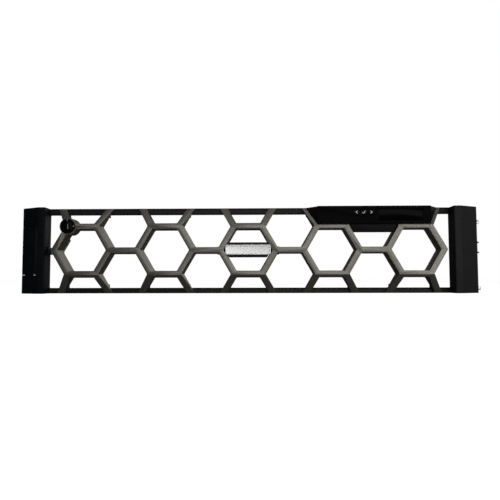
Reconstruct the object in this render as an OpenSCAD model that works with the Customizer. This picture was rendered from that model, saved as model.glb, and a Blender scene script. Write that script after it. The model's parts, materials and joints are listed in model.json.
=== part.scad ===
// Front bezel for a two-unit rack server: a honeycomb grille on two black rails, between end caps.
// X runs to the right as seen from the front, Z up, and the front faces -Y.

/* [Overall] */
// Height over the two rails
bezel_h = 83.4; // [83:0.2:86]
// Width over the outer faces of the end caps
bezel_w = 443.2; // [441:0.2:451]
// Depth from the front of the honeycomb to the rear rims of the end caps
bezel_depth = 27; // [26.6:0.2:30]
// How far the lock and the catches' own side reach past the faces: the lock head's stand
head_proud = 1.5; // [1.3:0.1:2.5]
// How far the hooks and the latch tongues reach past the end caps
side_reach = 3.5; // [3:0.1:5]

/* [Honeycomb] */
// Gap between the honeycomb's outer tips and the end caps
tip_gap = 6.5; // [5.6:0.1:7.4]
// Width of a strut at the front face
strut_front = 5.3; // [4.6:0.1:5.8]
// Width of a strut at the back, after the mould's draft
strut_rear = 6.9; // [6:0.1:7.2]
// Depth of the honeycomb
grille_t = 13; // [12:0.2:14]
// Half the height of the flat front, before it slopes back to the rails
flat_half = 23.6; // [23:0.1:24.2]
// Depth at which the slope ends, at the top and bottom edges
foot_t = 11.5; // [10:0.1:11.6]
// Rounding of the corners of a cell
cell_corner_r = 1.6; // [1:0.1:2.4]
// Distance from the honeycomb's feet to the outer faces of the rails
foot_inset = 0.2; // [0.2:0.1:0.8]

/* [Rails] */
// Height of a rail
rail_h = 5.2; // [5:0.1:6]
// Depth of a rail, front to back
rail_depth = 11; // [10:0.2:12]
// Thickness of a rail's walls
rail_wall = 1.4; // [1.2:0.1:1.6]
// Height of the groove along a rail's front
groove_h = 1.2; // [0.8:0.1:1.6]
// Depth of that groove
groove_depth = 0.8; // [0.4:0.1:0.9]
// Lip left above the groove
groove_lip = 0.7; // [0.5:0.1:1.2]
// Width of the lug behind each foot of the honeycomb
lug_w = 6; // [5:0.2:7]
// How far a lug stands up from its rail
lug_h = 3.6; // [3.4:0.1:4]
// Depth of a lug
lug_t = 4; // [3:0.2:5]

/* [End caps] */
// Width of an end cap
cap_w = 25.4; // [25:0.1:26.4]
// Flat part of its front face, next to the honeycomb
cap_flat = 6.5; // [6.3:0.1:7]
// Depth at which the front face has sloped back to the outer side
cap_slope_t = 9.6; // [8.6:0.1:10.4]
// Depth of the inner side wall
cap_side_t = 16.5; // [15.6:0.1:17]
// Thickness of the walls
cap_wall = 2; // [1.8:0.1:2.2]
// Rounding of the upright edges
cap_edge_r = 1.2; // [0.6:0.1:1.6]
// Height of the pocket in the inner side wall, beside the honeycomb's tip
pocket_h = 8; // [6:0.5:12]
// Distance from the cap's ends to the middle of its fixing screws
cap_screw_z = 10; // [9.4:0.1:10.6]

/* [End brackets] */
// How far the bracket's inner face stands back from the cap's inner face
bracket_inset = 6; // [5.8:0.1:6.4]
// Thickness of the bracket's plates
bracket_wall = 2.5; // [2.2:0.1:2.6]
// Length of the tongue in the end of a rail
tongue_l = 13; // [10:0.5:16]
// Distance of the rail's fixing screw from the bracket
rail_screw_in = 3; // [2.6:0.1:4]

/* [Release latch] */
// Height of the release button
button_h = 47; // [44:0.5:48]
// Gap all round the button
button_gap = 0.3; // [0.25:0.05:0.5]
// Distance of the button's pivot from the cap's inner face
pivot_in = 8.2; // [8:0.1:8.6]
// Depth of the pivot
pivot_t = 4.2; // [4:0.1:4.4]
// Radius of the pivot pins
pivot_r = 1.2; // [1:0.1:1.4]
// Height of a latch tongue
tongue_h = 8; // [6:0.5:9]
// Distance of the tongues from mid height
tongue_z = 12; // [11.5:0.1:12.5]

/* [Lock] */
// Radius of the lock's head
lock_head_r = 7.1; // [6.8:0.1:7.6]
// Radius of the boss that carries the lock
lock_boss_r = 8.1; // [7.8:0.1:8.6]
// Radius of the lock's barrel
lock_barrel_r = 6; // [5.6:0.1:6.1]
// Radius of the plug that the key turns
lock_plug_r = 4.2; // [3.8:0.1:4.4]
// Reach of the cam from the lock's axis
cam_reach = 13; // [12:0.1:13.4]
// Way the cam points when unlocked, in degrees from +X towards +Z
cam_rest = 150; // [146:1:154]

/* [Badge] */
// Height of the dark bar across the middle cell
badge_h = 14.2; // [12:0.2:15]
// Length of the blank plate on it
badge_plate_l = 43.2; // [40:0.4:49]
// Height of the blank plate
badge_plate_h = 9.4; // [8:0.2:11.8]

/* [Display module] */
// Half the length of its front panel
panel_half = 54; // [53:0.2:54.6]
// Half the length of the housing where it meets the rail
module_half = 65; // [64:0.2:65.4]
// How far the panel laps down over the struts below it
panel_lap = 2.2; // [1.6:0.1:2.6]
// How far the panel stands in front of the honeycomb
panel_proud = 1.2; // [0.9:0.1:1.3]
// How far the housing's chin hangs into the cell below it
chin_drop = 9.4; // [7:0.2:11]
// Thickness of the housing's walls
module_wall = 1.6; // [1.4:0.1:1.8]
// Distance of the first navigation button from the middle of the module
nav_in = 16.6; // [16.4:0.1:18]
// Distance between navigation buttons
nav_pitch = 7.1; // [7:0.05:7.4]
// Distance of the navigation buttons from the top edge
nav_drop = 6.2; // [5.6:0.1:7]
// Travel of a navigation button
nav_travel = 0.5; // [0.3:0.05:0.55]
// Length of the display window
window_l = 42; // [36:0.5:42.4]
// Height of the display window, as a share of the panel's
window_share = 0.62; // [0.5:0.01:0.66]

/* [Hooks and contacts] */
// Thickness of the hook plate
plate_t = 1.5; // [1.2:0.1:1.6]
// Height of a hook
hook_h = 3.6; // [3:0.1:4]
// Distance of the upper hook from the top edge
hook_high = 14.3; // [12:0.1:18]
// Distance of the lower hook from the bottom edge
hook_low = 4.4; // [4.3:0.1:6]
// Height of the contact block
contact_h = 11.2; // [10.8:0.2:13]
// Number of spring contacts
contact_n = 6; // [4:1:6]

/* [Hidden] */
$fn = 48;
cut = 0.5;             // overrun of a cutting shape
seat = 0.1;            // gap between flat faces that seat on each other
fit = 0.3;             // gap round a piece in its opening
running = 0.08;        // radial clearance of a turning shaft
spring_turns = 3.5;
spring_steps = 12;

mid_z = bezel_h / 2;
front_y = (head_proud - bezel_depth) / 2;     // honeycomb's front plane
half_w = bezel_w / 2;
reach_x = half_w + side_reach;

// five columns of cells, two pitches apart, fill the width between the caps
cell_pitch = (bezel_w / 2 - cap_w - tip_gap - strut_front / sqrt(3)) / (4 + 2 / 3);
cell_row = cell_pitch * 2 / sqrt(3);          // flat to flat, strut middle to strut middle
cell_side = cell_pitch / 1.5;
columns = [-2, -1, 0, 1, 2];

rail_t = grille_t + seat;                     // rail's front face
rail_back = rail_t + rail_depth;
cap_in = half_w - cap_w;                      // cap's inner face
rail_end = cap_in + bracket_inset - seat;
bracket_x = cap_in + bracket_inset;
bracket_t = rail_t + 0.5;
bracket_back = bezel_depth - 0.4;
bracket_out = half_w - cap_wall - fit;
bracket_z = cap_wall + fit;
rail_screw_t = rail_t + 5.5;
tongue_back = rail_screw_t + 1.5;
web_z = cap_screw_z + 6.5;                    // upper end of the bracket's lower web
web_t = rail_t + 1;
cap_post_x = cap_in + 14;

lug_screw_z = rail_h + lug_h / 2 + 0.1;
lug_x = foot_x(mid_z - lug_screw_z);
lug_screw_r = 1;

lock_x = -2 * cell_pitch * 2 - cell_side / 2;
lock_z = mid_z + cell_row / 2;
lock_back = grille_t + 2.2;
lock_nut_r = 7.2;
cam_t = 1.8;
cam_front = lock_back + 0.3;
cam_w = 5;

module_x = 3 * cell_pitch;
panel_back = 0.4;
module_low = mid_z + cell_row / 2 + strut_rear / 2 + 0.25;
panel_low = module_low - panel_lap;
panel_h = bezel_h - seat - panel_low;
window_h = panel_h * window_share;
module_back = grille_t - 0.3;
module_top = bezel_h - 0.3;
board_t = 5;
board_thick = 1.2;
nav_z = bezel_h - nav_drop;
nav_w = 5.8;
nav_h = panel_h * 0.3;
switch_h = 1.5;
nav_proud = head_proud - seat;
window_x = module_x + 25.5;
window_z = panel_low + panel_h / 2;
module_screw_z = module_low + 3.2;
module_screw_x = [-44, -24, 2, 48.4];
mount_screw_z = bezel_h - rail_h / 2;
mount_screw_x = [-40, 32];
flex_x = module_x + 45;
flex_w = 5;
flex_t = 0.8;

pivot_x = cap_in + pivot_in;
button_x = cap_in + cap_flat + button_gap;
button_back = 13;
lip_t = 0.9;
lip_back = 18;
lever_x = pivot_x + 5.3;
lever_wall = 2;
arm_t = grille_t + 5;
lever_z = 18;
arm_h = 7;
arm_end_w = 4.6;
arm_end_r = 1.4;

hook_t = 12.5;
contact_z = mid_z + 2.4;
contact_t = 12.5;
contact_d = 9.5;
flange_x = bracket_out - seat - plate_t - seat;

// ---- helpers --------------------------------------------------------------------------------

// x of a strut's middle at a distance z from mid height, from its cell's middle
function foot_x(z) = cell_side / 2 + (z - cell_row / 2) / tan(60);

// circumradius of a cell whose struts are w wide; a negative w gives the outside of the struts
function cell_r(w) = (cell_row - w) / 2 / cos(30);

// the whole bezel is drawn with the honeycomb's front at y = 0, then set about the middle
module placed() {
    translate([0, front_y, 0]) children();
}

// front view shape, from depth t0 to depth t1
module slab(t0, t1) {
    translate([0, t1, 0]) rotate([90, 0, 0]) linear_extrude(t1 - t0) children();
}

// plan view shape, from height z0 to height z1
module plan(z0, z1) {
    translate([0, 0, z0]) linear_extrude(z1 - z0) children();
}

// side view shape, from x0 to x1
module along_x(x0, x1) {
    translate([x0, 0, 0]) rotate([90, 0, 90]) linear_extrude(x1 - x0) children();
}

module box(low, high) {
    translate(low) cube(high - low);
}

// round bar along the depth
module rod_t(x, z, r, t0, t1) {
    translate([x, t0, z]) rotate([-90, 0, 0]) cylinder(r = r, h = t1 - t0);
}

// round bar along x
module rod_x(t, z, r, x0, x1) {
    translate([x0, t, z]) rotate([0, 90, 0]) cylinder(r = r, h = x1 - x0);
}

// pan-head screw along the depth, head at the back
module screw_t(x, z, r, head_r, head_t, tip, under) {
    rod_t(x, z, r, tip, under);
    rod_t(x, z, head_r, under, under + head_t);
}

module rounded_2d(w, h, r) {
    offset(r = r) square([w - 2 * r, h - 2 * r], center = true);
}

module both_rails() {
    children();
    translate([0, 0, bezel_h]) mirror([0, 0, 1]) children();
}

module left() {
    mirror([1, 0, 0]) children();
}

// ---- honeycomb ------------------------------------------------------------------------------

module cell_2d(w) {
    offset(r = cell_corner_r) offset(delta = -cell_corner_r) circle(r = cell_r(w), $fn = 6);
}

module cell_cutter(x, z) {
    translate([x, -cut, z]) rotate([-90, 0, 0])
        linear_extrude(grille_t + 2 * cut, scale = cell_r(strut_rear) / cell_r(strut_front))
            cell_2d(strut_front);
}

module at_cells() {
    for (c = columns, r = [-1, 0, 1])
        translate([c * 2 * cell_pitch, 0, mid_z + r * cell_row]) children();
    for (c = [-3, -1, 1, 3], r = [-0.5, 0.5])
        translate([c * cell_pitch, 0, mid_z + r * cell_row]) children();
}

module outline_2d() {
    offset(r = cell_corner_r) offset(delta = -cell_corner_r) {
        for (c = columns, r = [-1, 0, 1])
            translate([c * 2 * cell_pitch, mid_z + r * cell_row])
                circle(r = cell_r(-strut_front), $fn = 6);
        for (c = [-3, -1, 1, 3], r = [-0.5, 0.5])
            translate([c * cell_pitch, mid_z + r * cell_row])
                circle(r = cell_r(-strut_front), $fn = 6);
    }
}

// side view: flat in the middle, sloping back to the rails; grow moves the front face forwards
module side_profile(grow = 0) {
    polygon([[grille_t, foot_inset], [foot_t - grow, foot_inset], [-grow, mid_z - flat_half],
             [-grow, mid_z + flat_half], [foot_t - grow, bezel_h - foot_inset],
             [grille_t, bezel_h - foot_inset]]);
}

// feet that have a lug of the rail behind them: [column, side], all at the bottom
bottom_feet = [for (c = columns, s = [-1, 1]) [c, s]];
// the display module takes the place of two feet at the top
top_feet = [for (f = bottom_feet) if (f != [1, 1] && f != [2, -1]) f];
screwed = [-2, 0, 2];

function foot_place(f) = f[0] * 2 * cell_pitch + f[1] * lug_x;

module foot_screws(r, head_r, head_t, tip, under) {
    for (f = bottom_feet)
        if (len(search(f[0], screwed)) > 0)
            screw_t(foot_place(f), lug_screw_z, r, head_r, head_t, tip, under);
    for (f = top_feet)
        if (len(search(f[0], screwed)) > 0)
            screw_t(foot_place(f), bezel_h - lug_screw_z, r, head_r, head_t, tip, under);
}

module honeycomb_grille() {
    color([0.38, 0.38, 0.35]) placed() difference() {
        union() {
            intersection() {
                slab(0, grille_t) outline_2d();
                along_x(-half_w, half_w) side_profile();
            }
            rod_t(lock_x, lock_z, lock_boss_r, 0, grille_t);
        }
        difference() {
            at_cells() cell_cutter(0, 0);
            rod_t(lock_x, lock_z, lock_boss_r, -1, grille_t + 1);
        }
        // the display module's place, between the outer struts of its two cells
        box([2 * cell_pitch, -cut, mid_z + cell_row / 2 + strut_rear / 2],
            [4 * cell_pitch, grille_t + cut, bezel_h]);
        rod_t(lock_x, lock_z, lock_barrel_r + fit / 2, -cut, grille_t + cut);
        foot_screws(lug_screw_r, lug_screw_r, cut, grille_t - 4, grille_t);
        for (s = [-1, 1])
            rod_t(s * cell_side, mid_z, 1, grille_t - 6, grille_t + cut);
    }
}

// ---- rails ----------------------------------------------------------------------------------

module rail_section() {
    difference() {
        translate([rail_t, 0]) square([rail_depth, rail_h]);
        translate([rail_t + rail_wall, rail_wall])
            square([rail_depth, rail_h - 2 * rail_wall]);
        translate([rail_t - cut, rail_h - groove_lip - groove_h])
            square([groove_depth + cut, groove_h]);
    }
}

module lug(x, s) {
    box([x - lug_w / 2, rail_t, s > 0 ? rail_h - rail_wall : -lug_h],
        [x + lug_w / 2, rail_t + lug_t, s > 0 ? rail_h + lug_h : rail_wall]);
}

module rail_screw_holes(z0, z1) {
    for (s = [-1, 1])
        translate([s * (bracket_x - rail_screw_in), rail_screw_t, z0]) cylinder(r = 1.15, h = z1 - z0);
}

module bottom_rail() {
    color([0.05, 0.05, 0.055]) placed() difference() {
        union() {
            along_x(-rail_end, rail_end) rail_section();
            for (f = bottom_feet) lug(foot_place(f), 1);
        }
        foot_screws(lug_screw_r + 0.15, lug_screw_r, cut, grille_t, rail_back);
        rail_screw_holes(rail_h - rail_wall - cut, rail_h + cut);
    }
}

module top_rail() {
    color([0.05, 0.05, 0.055]) placed() difference() {
        translate([0, 0, bezel_h - rail_h]) union() {
            along_x(-rail_end, rail_end) rail_section();
            for (f = top_feet) lug(foot_place(f), -1);
        }
        foot_screws(lug_screw_r + 0.15, lug_screw_r, cut, grille_t, rail_back);
        rail_screw_holes(bezel_h - rail_h - cut, bezel_h - rail_h + rail_wall + cut);
        for (x = mount_screw_x) rod_t(module_x + x, mount_screw_z, 1.15, grille_t, rail_t + rail_wall + cut);
        box([flex_x - flex_w / 2 - fit, grille_t, mount_screw_z - 0.8],
            [flex_x + flex_w / 2 + fit, rail_t + rail_wall + cut, mount_screw_z + 0.8]);
    }
}

module grille_screws() {
    color([0.3, 0.3, 0.3]) placed()
        foot_screws(lug_screw_r - 0.1, 1.7, 1.1, grille_t - 3.6, rail_t + lug_t + seat);
}

module rail_screws() {
    color([0.3, 0.3, 0.3]) placed() both_rails() for (s = [-1, 1])
        translate([s * (bracket_x - rail_screw_in), rail_screw_t, 0]) {
            translate([0, 0, rail_wall + 0.6]) cylinder(r = 0.9, h = rail_h - rail_wall - 0.6 + seat);
            translate([0, 0, rail_h + seat]) cylinder(r = 1.8, h = 1);
        }
}

// ---- end caps and brackets ------------------------------------------------------------------

module cap_outer_2d() {
    offset(r = cap_edge_r) offset(delta = -cap_edge_r)
        polygon([[cap_in, 0], [cap_in + cap_flat, 0], [half_w, cap_slope_t],
                 [half_w, bezel_depth], [bracket_x, bezel_depth], [bracket_x, cap_side_t],
                 [cap_in, cap_side_t]]);
}

module cap_inner_2d(wall = cap_wall) {
    offset(delta = -wall)
        polygon([[cap_in, 0], [cap_in + cap_flat, 0], [half_w, cap_slope_t],
                 [half_w, bezel_depth + 4 * wall], [cap_in, bezel_depth + 4 * wall]]);
}

module cap_shell() {
    difference() {
        union() {
            difference() {
                plan(0, bezel_h) cap_outer_2d();
                plan(cap_wall, bezel_h - cap_wall) cap_inner_2d();
            }
            // posts for the cap screws, from the sloping face back to the bracket
            intersection() {
                both_rails() rod_t(cap_post_x, cap_screw_z, 3, cap_wall, web_t - seat);
                plan(0, bezel_h) cap_inner_2d(cap_wall - 0.4);
            }
        }
        both_rails() {
            // room for the rail's end
            box([cap_in - cut, rail_t - fit, -cut], [bracket_x, bezel_depth, rail_h + fit]);
            rod_t(cap_post_x, cap_screw_z, 1, cap_slope_t - 2, web_t);
        }
    }
}

module right_end_cap() {
    color([0.1, 0.1, 0.1]) placed() difference() {
        cap_shell();
        for (z = [hook_low, bezel_h - hook_high])
            box([half_w - cap_wall - cut, hook_t - fit, z - hook_h / 2 - fit],
                [half_w + cut, hook_t + 9, z + hook_h / 2 + fit]);
        box([half_w - cap_wall - cut, contact_t - fit, contact_z - contact_h / 2 - fit],
            [half_w + cut, contact_t + contact_d + fit, contact_z + contact_h / 2 + fit]);
    }
}

module pivot_ear_2d() {
    translate([pivot_x, pivot_t]) circle(r = pivot_r + 1.7);
    translate([pivot_x - pivot_r - 1.7, cap_wall - 0.4])
        square([2 * pivot_r + 3.4, pivot_t - cap_wall + 0.4]);
}

module left_end_cap() {
    ear = button_h / 2 + button_gap;
    color([0.03, 0.04, 0.05]) placed() left() difference() {
        union() {
            difference() {
                cap_shell();
                // place of the release button
                box([cap_in + cap_flat, -cut, mid_z - ear], [half_w + cut, button_back + 3.2, mid_z + ear]);
            }
            intersection() {
                for (s = [-1, 1])
                    plan(mid_z + s * (ear + 1.5) - 1.5, mid_z + s * (ear + 1.5) + 1.5) pivot_ear_2d();
                plan(0, bezel_h) cap_inner_2d(cap_wall - 0.4);
            }
        }
        for (s = [-1, 1]) {
            translate([pivot_x, pivot_t, mid_z + s * (ear + 1.5) - 2]) cylinder(r = pivot_r + running, h = 4);
            // slots of the latch tongues, open to the rear
            box([half_w - cap_wall - cut, arm_t, mid_z + s * tongue_z - tongue_h / 2 - 0.6],
                [half_w + cut, bezel_depth + cut, mid_z + s * tongue_z + tongue_h / 2 + 0.6]);
        }
        // pocket beside the tip of the honeycomb
        box([cap_in - cut, 5, mid_z - pocket_h / 2], [cap_in + 1.2, 9.5, mid_z + pocket_h / 2]);
    }
}

// plate beside the rails' ends, its tongues in the rails, and a web that takes the cap screws
module bracket_shape(web_out) {
    difference() {
        union() {
            box([bracket_x, bracket_t, bracket_z], [bracket_x + bracket_wall, bracket_back, bezel_h - bracket_z]);
            both_rails() {
                box([bracket_x, web_t, bracket_z], [web_out, web_t + 2, web_z]);
                box([bracket_x - tongue_l, rail_t + rail_wall + fit / 2, rail_wall + fit / 2],
                    [bracket_x, tongue_back, rail_h - rail_wall - fit / 2]);
                box([bracket_x - 1, rail_t + rail_wall + fit / 2, bracket_z],
                    [bracket_x + 1, tongue_back, rail_h - rail_wall - fit / 2]);
            }
        }
        both_rails() {
            rod_t(cap_post_x, cap_screw_z, 1.3, web_t - cut, web_t + 2 + cut);
            translate([bracket_x - rail_screw_in, rail_screw_t, 0]) cylinder(r = 1, h = rail_h);
        }
    }
}

module left_bracket() {
    color([0.06, 0.06, 0.065]) placed() left() difference() {
        bracket_shape(bracket_out);
        // passage of the lever's arm
        box([bracket_x - cut, bracket_t + 1.5, mid_z - arm_h / 2 - 3],
            [bracket_x + bracket_wall + cut, arm_t + 4, mid_z + arm_h / 2 + 3]);
    }
}

module right_bracket() {
    color([0.06, 0.06, 0.065]) placed() difference() {
        union() {
            bracket_shape(flange_x);
            both_rails()
                box([flange_x - 2, web_t, bracket_z + 1], [flange_x, bracket_back - 1, web_z]);
        }
        both_rails()
            rod_x(web_t + 6, cap_screw_z - 2.5, 1.3, flange_x - 2 - cut, flange_x + cut);
        // passage of the display's flat cable
        box([bracket_x - cut, tongue_back, mount_screw_z - flex_t / 2 - fit],
            [bracket_x + bracket_wall + cut, rail_back, mount_screw_z + flex_t / 2 + fit]);
    }
}

module cap_screws() {
    color([0.3, 0.3, 0.3]) placed() for (s = [0, 1]) mirror([s, 0, 0]) both_rails()
        screw_t(cap_post_x, cap_screw_z, 0.9, 2.4, 1.5, web_t - 4.6, web_t + 2 + seat);
}

// ---- badge ----------------------------------------------------------------------------------

module badge_bar() {
    ear_x = cell_side + 3.4;
    color([0.08, 0.08, 0.08]) placed() difference() {
        union() {
            slab(0, 6) intersection() {
                translate([0, mid_z]) cell_2d(strut_rear + 2 * fit);
                translate([0, mid_z]) square([2 * cell_side, badge_h], center = true);
            }
            // legs that reach back to an ear behind each strut
            for (s = [-1, 1]) {
                slab(5.9, grille_t + seat + 1.8) intersection() {
                    translate([0, mid_z]) cell_2d(strut_rear + 2 * fit);
                    translate([s * (cell_side - 8.2), mid_z]) square([6, 8], center = true);
                }
                translate([s * (ear_x + cell_side - 9) / 2, 0, 0])
                    box([-(ear_x - cell_side + 9) / 2, grille_t + seat, mid_z - 4],
                        [(ear_x - cell_side + 9) / 2, grille_t + seat + 1.8, mid_z + 4]);
            }
        }
        for (s = [-1, 1]) rod_t(s * cell_side, mid_z, 1.15, grille_t, grille_t + 3);
    }
}

module badge_plate() {
    color([0.75, 0.75, 0.74]) placed() slab(-1, -seat)
        translate([0, mid_z]) rounded_2d(badge_plate_l, badge_plate_h, 2);
}

module badge_screws() {
    color([0.3, 0.3, 0.3]) placed() for (s = [-1, 1])
        screw_t(s * cell_side, mid_z, 0.9, 1.9, 1.2, grille_t - 5.6, grille_t + 1.8 + 2 * seat);
}

// ---- lock -----------------------------------------------------------------------------------

module lock_barrel() {
    color([0.04, 0.04, 0.04]) placed() difference() {
        union() {
            rod_t(lock_x, lock_z, lock_head_r, -head_proud, -seat);
            rod_t(lock_x, lock_z, lock_barrel_r, -seat, lock_back);
        }
        rod_t(lock_x, lock_z, lock_plug_r + running, -head_proud - cut, lock_back + cut);
        rod_t(lock_x, lock_z, lock_plug_r + 1 + running, -head_proud - cut, -head_proud + 1.1);
    }
}

module lock_nut() {
    color([0.55, 0.55, 0.52]) placed() difference() {
        rod_t(lock_x, lock_z, lock_nut_r, grille_t + seat, grille_t + 1.9);
        rod_t(lock_x, lock_z, lock_barrel_r + 0.05, grille_t - cut, lock_back);
    }
}

module lock_plug() {
    color([0.12, 0.12, 0.12]) placed() difference() {
        union() {
            rod_t(lock_x, lock_z, lock_plug_r, -head_proud, lock_back + 0.2);
            rod_t(lock_x, lock_z, lock_plug_r + 1, -head_proud + 0.05, -head_proud + 1);
            // square end that carries the cam
            translate([lock_x, cam_front + cam_t / 2 - 0.2, lock_z]) rotate([0, -cam_rest, 0])
                cube([4, cam_t + 0.4, 4], center = true);
        }
        // keyway
        translate([lock_x, -head_proud + 2, lock_z]) cube([1.5, 6, 5.2], center = true);
        rod_t(lock_x, lock_z, 1.25, lock_back - 4.5, lock_back + 3);
    }
}

module lock_cam() {
    color([0.6, 0.6, 0.6]) placed()
        translate([lock_x, 0, lock_z]) rotate([0, -cam_rest, 0]) difference() {
            union() {
                rod_t(0, 0, 4.4, cam_front, cam_front + cam_t);
                rod_t(cam_reach - cam_w / 2, 0, cam_w / 2, cam_front, cam_front + cam_t);
                box([0, cam_front, -cam_w / 2], [cam_reach - cam_w / 2, cam_front + cam_t, cam_w / 2]);
            }
            translate([0, cam_front, 0]) cube([4.1, 3 * cam_t, 4.1], center = true);
        }
}

module cam_screw() {
    color([0.3, 0.3, 0.3]) placed()
        screw_t(lock_x, lock_z, 1.15, 3.2, 1.4, lock_back - 4, cam_front + cam_t + seat);
}

// ---- release latch (drawn on the right, mirrored to the left) --------------------------------

module button_skin_2d() {
    difference() {
        intersection() {
            cap_outer_2d();
            translate([button_x, -cut]) square([half_w, button_back + cut]);
        }
        cap_inner_2d();
        // bevel along the inner edge
        polygon([[button_x - 1, -1], [button_x + 2.4, -1], [button_x + 2.4, 1.2], [button_x, 2.6],
                 [button_x - 1, 2.6]]);
    }
}

// thin lip inside the cap's wall, over part of the plan view
module lip_2d(out, x0, x1, t0, t1) {
    intersection() {
        difference() {
            cap_inner_2d(cap_wall + out);
            cap_inner_2d(cap_wall + fit + lip_t);
        }
        translate([x0, t0]) square([x1 - x0, t1 - t0]);
    }
}

module release_button() {
    low = mid_z - button_h / 2;
    high = mid_z + button_h / 2;
    color([0.04, 0.05, 0.06]) placed() left() union() {
        plan(low, high) button_skin_2d();
        intersection() {
            union() {
                plan(low, high) translate([pivot_x, pivot_t]) circle(r = pivot_r + 1);
                // rib that carries the lever
                box([lever_x - seat - 2, 2, mid_z - lever_z], [lever_x - seat, 12, mid_z + lever_z]);
                for (s = [-1, 1])
                    box([pivot_x, 3, mid_z + s * (lever_z + 2) - 1], [half_w - 4, 11, mid_z + s * (lever_z + 2) + 1]);
            }
            plan(0, bezel_h) cap_inner_2d(cap_wall - 0.4);
        }
        // lips behind the cap's wall, which stop the button and close its gaps
        for (z = [low - lip_t - button_gap, high - 1])
            plan(z, z + 1 + lip_t + button_gap) lip_2d(fit, pivot_x + 4, half_w, 0, 12);
        for (z = [low, high - 1]) plan(z, z + 1) lip_2d(-0.4, pivot_x + 4, half_w, 0, 12);
        plan(low, high) lip_2d(fit, half_w - 6, half_w, 10, lip_back);
        plan(low, high) lip_2d(-0.4, half_w - 6, half_w, 10, button_back - 0.2);
        translate([pivot_x, pivot_t, low - 2.6]) cylinder(r = pivot_r, h = button_h + 5.2);
    }
}

module latch_lever() {
    foot = arm_t + 1;
    strut_run = 12.2;          // how far the arm climbs behind the strut
    color([0.45, 0.45, 0.46]) placed() left() difference() {
        union() {
            box([lever_x, 8, mid_z - lever_z], [lever_x + lever_wall, foot + 2, mid_z + lever_z]);
            box([lever_x + lever_wall - cut, foot, mid_z - lever_z],
                [half_w - cap_wall - 1, foot + 2, mid_z + lever_z]);
            // tongues, ramped on their rear side
            for (s = [-1, 1])
                plan(mid_z + s * tongue_z - tongue_h / 2, mid_z + s * tongue_z + tongue_h / 2)
                    polygon([[half_w - cap_wall - 2, foot], [reach_x, foot],
                             [reach_x, foot + 1], [half_w, foot + 4.4], [half_w - cap_wall - 2, foot + 4.4]]);
            // arm that runs in behind the honeycomb and up to the lock
            slab(arm_t, arm_t + 2) offset(r = arm_end_r) offset(delta = -arm_end_r) union() {
                translate([4 * cell_pitch + cell_side - 2.6, mid_z - arm_h / 2])
                    square([lever_x - 4 * cell_pitch - cell_side + 3.6, arm_h]);
                translate([4 * cell_pitch + cell_side, mid_z]) rotate(120)
                    translate([0, -arm_end_w / 2]) square([strut_run + arm_end_w / 2, arm_end_w]);
            }
        }
        for (s = [-1, 1])
            rod_x(10, mid_z + s * 14, 1.15, lever_x - cut, lever_x + lever_wall + cut);
    }
}

module latch_screws() {
    color([0.3, 0.3, 0.3]) placed() left() for (s = [-1, 1])
        rod_x(10, mid_z + s * 14, 1.9, lever_x + lever_wall + seat, lever_x + lever_wall + 1.3);
}

// a coil along x: rings of a small round wire, joined in one tube
module coil(radius, wire, length) {
    sides = 6;
    rings = spring_turns * spring_steps;
    points = [for (i = [0 : rings], k = [0 : sides - 1])
        let (a = i * 360 / spring_steps, b = k * 360 / sides, r = radius + wire * cos(b))
        [length * i / rings + wire * sin(b), r * cos(a), r * sin(a)]];
    walls = [for (i = [0 : rings - 1], k = [0 : sides - 1])
        [i * sides + k, i * sides + (k + 1) % sides, (i + 1) * sides + (k + 1) % sides, (i + 1) * sides + k]];
    polyhedron(points, concat(walls,
        [[for (k = [sides - 1 : -1 : 0]) k]], [[for (k = [0 : sides - 1]) rings * sides + k]]));
}

module latch_springs() {
    from = bracket_x + bracket_wall + 0.5;
    color([0.6, 0.6, 0.6]) placed() left() for (s = [-1, 1])
        translate([from, bracket_t + 4, mid_z + s * 12]) coil(2.2, 0.35, lever_x - from - 0.5);
}

// ---- display module -------------------------------------------------------------------------

// the strut beside the housing and the space outside it, grown by a gap
module strut_beside(gap) {
    intersection() {
        slab(-2, grille_t + 1) translate([4 * cell_pitch + cell_side / 2, mid_z + cell_row / 2])
            rotate(60) translate([-8, -30]) square([50, 30 + strut_rear / 2 + gap]);
        along_x(0, half_w) side_profile(gap);
    }
}

module struts_beside(gap) {
    strut_beside(gap);
    translate([2 * module_x, 0, 0]) mirror([1, 0, 0]) strut_beside(gap);
}

module housing_block(inset) {
    front = panel_half - inset;
    back = module_half - inset;
    plan(module_low + inset, module_top - inset)
        translate([module_x, 0]) polygon([[-front, panel_back + seat - (inset > 0 ? 1 : 0)],
            [front, panel_back + seat - (inset > 0 ? 1 : 0)], [back, module_back - inset],
            [-back, module_back - inset]]);
}

module chin() {
    slab(2, module_back) intersection() {
        translate([module_x, mid_z + cell_row / 2]) cell_2d(strut_rear + 2 * fit);
        translate([module_x - cell_side, module_low - chin_drop])
            square([2 * cell_side, chin_drop + module_wall]);
    }
}

module module_housing() {
    color([0.07, 0.07, 0.075]) placed() difference() {
        union() {
            difference() {
                housing_block(0);
                struts_beside(fit);
            }
            chin();
        }
        difference() {
            housing_block(module_wall);
            struts_beside(fit + module_wall);
            for (x = mount_screw_x) rod_t(module_x + x, mount_screw_z, 1.9, 7, grille_t);
        }
        for (x = module_screw_x) rod_t(module_x + x, module_screw_z, 1.15, module_back - 3, grille_t);
        for (x = mount_screw_x) rod_t(module_x + x, mount_screw_z, 1, 8, grille_t);
        box([flex_x - flex_w / 2 - fit, board_t, mount_screw_z - 0.8],
            [flex_x + flex_w / 2 + fit, grille_t, mount_screw_z + 0.8]);
    }
}

module at_nav_buttons() {
    for (i = [0, 1, 2]) translate([module_x - nav_in + i * nav_pitch, 0, nav_z]) children();
}

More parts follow.
